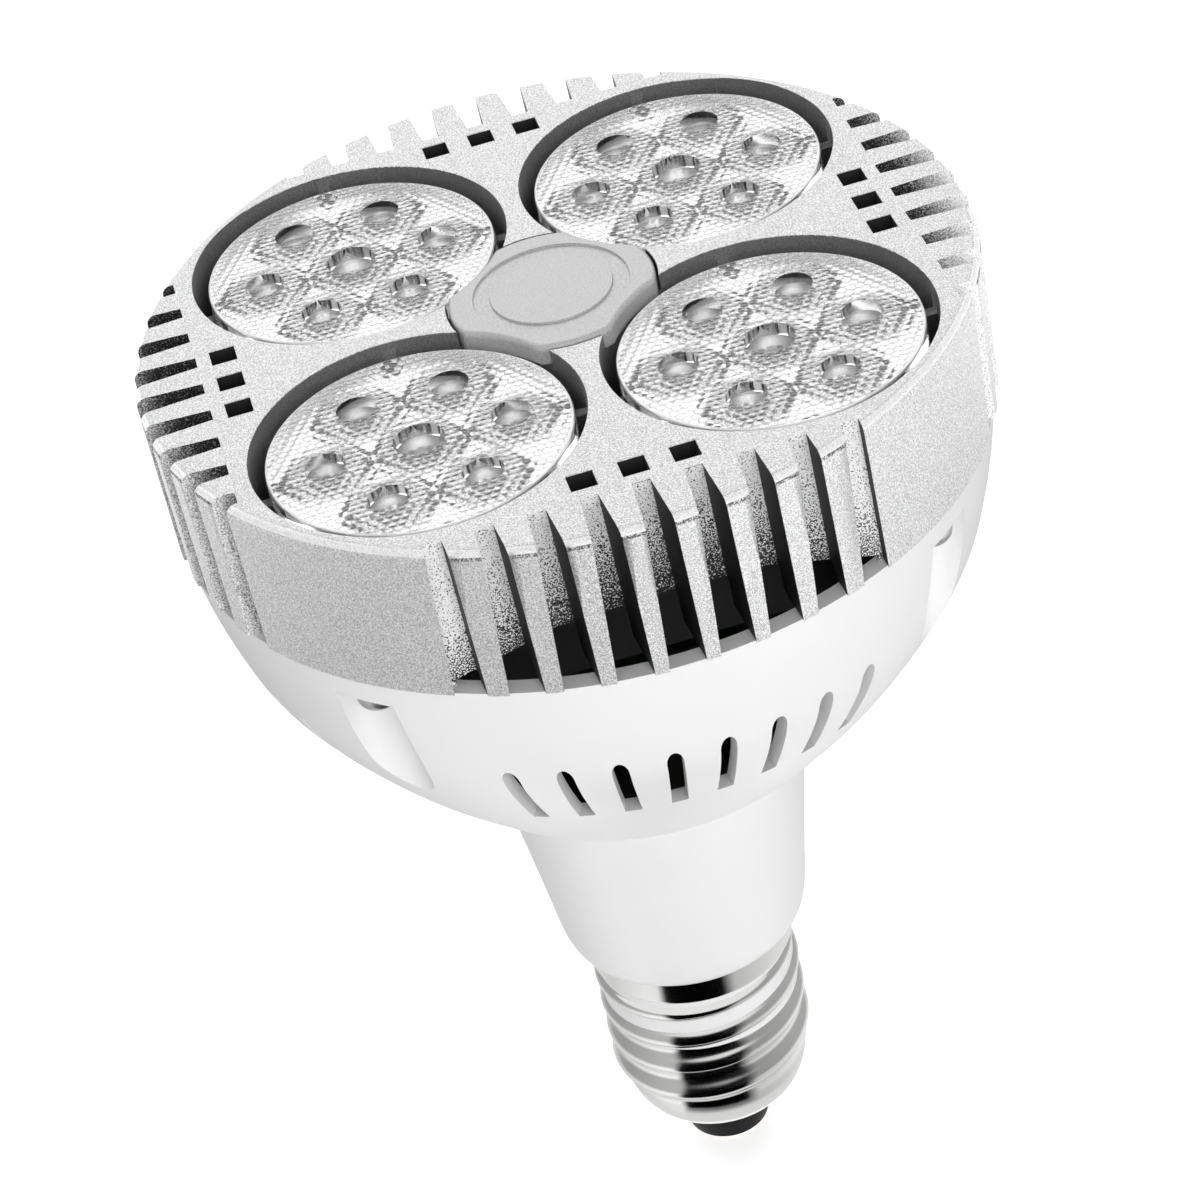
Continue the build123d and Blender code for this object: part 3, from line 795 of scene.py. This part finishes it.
# Insulator and centre contact
# A black moulded cone closes the sleeve's foot and a tinned button in its tip takes the live wire.
# The foot's edge holds the cone, and the button sits on the cone's flat end.
insulator_outline = (
    (1.0, 1.4), (5.0, 1.4), (5.4, 1.7), (6.3, 4.4), (7.05, 7.2), (6.8, 7.4), (1.0, 7.4),
)
insulator_sides = 96
insulator_shine = 0.03
contact_outline = ((0.01, 0.0), (2.9, 0.1), (4.0, 0.5), (4.35, 1.1), (4.35, 1.4), (0.01, 1.4))
contact_sides = 64
ink = plain_finish("black_moulding", grey(0.008), 0.4)
ink.node_tree.nodes["Principled BSDF"].inputs["Specular IOR Level"].default_value = insulator_shine
tinned = plain_finish("tinned_brass", (0.70, 0.66, 0.56), 0.28, metallic=1.0)
insulator = turned(in_metres(insulator_outline), insulator_sides)
make_piece("insulator_cone", insulator, [ink], "insulator")
contact = turned(in_metres(contact_outline), contact_sides)
make_piece("contact_button", contact, [tinned], "contact")

# Studio
# A white floor that glows evenly and, in reflections, brighter at the right and back; a soft key
# light in front, one at the right and a panel behind. A low glowing sweep, striped from white through
# black to grey, and a glowing white card show only in reflections.
floor_half = 3.0
floor_glow = 0.5
floor_sides = (("X", -0.15, 0.15), ("Y", -0.05, 0.15))
floor_glint = (0.2, 1.1)
above_floor = 0.6 * mm
sweep_inner = 8.5 * mm
sweep_outer = 115 * mm
sweep_high = 55 * mm
sweep_back = (116 * mm, 0.4 * mm)
sweep_turns = 96
sweep_front = Vector((-0.12, -0.993, 0))
sweep_stripe = (
    (0.22, 0.7), (0.34, 1.0), (0.375, 1.0), (0.395, 0.0), (0.555, 0.0), (0.59, 0.6), (0.74, 0.85),
    (0.9, 0.85),
)
sweep_behind = 0.85
sweep_rise = (0.012, 0.028, 0.8, 1.15)
sweep_fall = (0.03, 0.10, 1.15, 0.55)
sweep_ring = (0.0165, 0.0185, 0.8, 0.0)
card_corners = ((0.02, -0.14), (0.02, -0.5), (0.4, -0.5), (0.25, -0.14))
card_glow = 2.4
sky_glow = 0.44
sky_seen_glow = 0.51
sky_through_glow = (-0.7, 0.7, -0.42, 1.85)
lamp_aim = Vector((0, 0, 0.09))
camera_place = Vector((-0.04070, -0.33797, 0.34541))
camera_aim = Vector((-0.00271, -0.00458, 0.09281))
camera_roll = radians(12.45)
camera_lens = 107.36
camera_sensor = 36
camera_near = 0.01


def stage_piece(name, shape, finish):
    """A piece of the studio, made from a shape."""
    mesh = mesh_of(name, shape)
    mesh.materials.append(finish)
    piece = new_object(name, mesh)
    return piece


def only_reflected(piece):
    """Leaves a piece of the studio to reflections alone."""
    piece.visible_camera = False
    piece.visible_diffuse = False
    piece.visible_transmission = False
    piece.visible_shadow = False


def softbox(name, place, width, height, power, glint=True):
    """A rectangular soft light that looks at the bulb, with or without a glint of its own."""
    light = bpy.data.lights.new(name, "AREA")
    light.shape = "RECTANGLE"
    light.size = width
    light.size_y = height
    light.energy = power
    lamp = new_object(name, light)
    lamp.location = place
    lamp.rotation_euler = (lamp_aim - Vector(place)).to_track_quat("-Z", "Y").to_euler()
    lamp.visible_glossy = glint


paper, paper_shader = new_finish("floor_paper")
paper_tree = paper.node_tree
paper_shader.inputs["Base Color"].default_value = (*grey(0.9), 1)
paper_shader.inputs["Roughness"].default_value = 0.9
paper_path = paper_tree.nodes.new("ShaderNodeLightPath").outputs
paper_axes = split_axes(paper_tree, object_place(paper_tree))
paper_sides = [
    map_range(paper_tree, paper_axes[axis], start, end, *floor_glint)
    for axis, start, end in floor_sides
]
paper_glint = math_node(paper_tree, "MAXIMUM", *paper_sides)
paper_seen = math_node(
    paper_tree, "MAXIMUM", paper_path["Is Camera Ray"], paper_path["Is Transmission Ray"],
)
paper_strength = math_node(
    paper_tree, "ADD",
    math_node(paper_tree, "MULTIPLY", paper_seen, floor_glow),
    math_node(paper_tree, "MULTIPLY", paper_path["Is Glossy Ray"], paper_glint),
)
paper_glow = paper_tree.nodes.new("ShaderNodeEmission")
paper_sum = paper_tree.nodes.new("ShaderNodeAddShader")
paper_tree.links.new(paper_strength, paper_glow.inputs["Strength"])
paper_tree.links.new(paper_shader.outputs[0], paper_sum.inputs[0])
paper_tree.links.new(paper_glow.outputs[0], paper_sum.inputs[1])
paper_tree.links.new(paper_sum.outputs[0], paper_tree.nodes["Material Output"].inputs["Surface"])
floor_shape = bmesh.new()
bmesh.ops.create_grid(floor_shape, x_segments=1, y_segments=1, size=floor_half)
stage_piece("floor", floor_shape, paper)

striped, stripe_shader = new_finish("glowing_sweep")
stripe_tree = striped.node_tree
stripe_place = object_place(stripe_tree)
stripe_ahead = vector_node(stripe_tree, "DOT_PRODUCT", stripe_place, sweep_front)
sweep_side = Vector((-sweep_front.y, sweep_front.x, 0))
stripe_aside = vector_node(stripe_tree, "DOT_PRODUCT", stripe_place, sweep_side)
stripe_turn = math_node(stripe_tree, "ARCTAN2", stripe_aside, stripe_ahead)
stripe_share = math_node(stripe_tree, "MULTIPLY_ADD", stripe_turn, 1 / (2 * pi), 0.5)
stripe_ramp = stripe_tree.nodes.new("ShaderNodeValToRGB")
stripe_stops = stripe_ramp.color_ramp.elements
for place, level in sweep_stripe:
    stripe_stops.new(place).color = (*grey(level), 1)
stripe_stops[0].color = (*grey(sweep_behind), 1)
stripe_stops[-1].color = (*grey(sweep_behind), 1)
stripe_tree.links.new(stripe_share, stripe_ramp.inputs["Fac"])
stripe_reach = vector_node(stripe_tree, "LENGTH", stripe_place)
stripe_levels = [map_range(stripe_tree, stripe_reach, *run) for run in (sweep_rise, sweep_fall)]
stripe_far = math_node(
    stripe_tree, "MULTIPLY", stripe_ramp.outputs["Color"],
    math_node(stripe_tree, "MINIMUM", *stripe_levels),
)
stripe_near = map_range(stripe_tree, stripe_reach, *sweep_ring)
stripe_level = math_node(stripe_tree, "MAXIMUM", stripe_far, stripe_near)
stripe_tree.links.new(stripe_level, stripe_shader.inputs["Emission Strength"])
stripe_shader.inputs["Emission Color"].default_value = (1, 1, 1, 1)
stripe_shader.inputs["Base Color"].default_value = (0, 0, 0, 1)
stripe_shader.inputs["Specular IOR Level"].default_value = 0.0
sweep_outline = [
    (sweep_inner, above_floor), (sweep_outer, above_floor), (sweep_outer, sweep_high), sweep_back,
]
only_reflected(stage_piece("sweep", turned(sweep_outline, sweep_turns), striped))

glowing_card, card_shader = new_finish("glowing_card")
card_shader.inputs["Emission Color"].default_value = (1, 1, 1, 1)
card_shader.inputs["Emission Strength"].default_value = card_glow
card_shape = bmesh.new()
card_shape.faces.new([card_shape.verts.new((x, y, above_floor)) for x, y in card_corners])
only_reflected(stage_piece("white_card", card_shape, glowing_card))

world = bpy.data.worlds.new("studio")
bpy.context.scene.world = world
world.use_nodes = True
sky = world.node_tree
background = sky.nodes["Background"]
background.inputs["Color"].default_value = (1, 1, 1, 1)
sky_path = sky.nodes.new("ShaderNodeLightPath").outputs
sky_axes = split_axes(sky, sky.nodes.new("ShaderNodeTexCoord").outputs["Generated"])
sky_behind = map_range(sky, sky_axes["Y"], *sky_through_glow)
sky_seen = math_node(sky, "MAXIMUM", sky_path["Is Camera Ray"], sky_path["Is Glossy Ray"])
sky_open = math_node(sky, "MULTIPLY_ADD", sky_seen, sky_seen_glow, sky_glow)
sky_through = math_node(sky, "MULTIPLY", sky_path["Is Transmission Ray"], sky_behind)
sky.links.new(math_node(sky, "ADD", sky_open, sky_through), background.inputs["Strength"])

softbox("key", (0.05, -0.76, 0.37), width=0.45, height=0.6, power=3.5, glint=False)
softbox("fill", (0.75, 0.1, 0.3), width=0.4, height=0.6, power=0.1)
softbox("back_panel", (0.02, 0.74, 0.62), width=1.5, height=0.75, power=4.6)

view = bpy.data.cameras.new("photo_view")
view.lens = camera_lens
view.sensor_width = camera_sensor
view.clip_start = camera_near
camera = new_object("photo_view", view)
camera_turn = (camera_aim - camera_place).to_track_quat("-Z", "Y").to_matrix()
camera.rotation_euler = (camera_turn @ Matrix.Rotation(-camera_roll, 3, "Z")).to_euler()
camera.location = camera_place
bpy.context.scene.camera = camera
bpy.context.scene.view_settings.view_transform = "Standard"
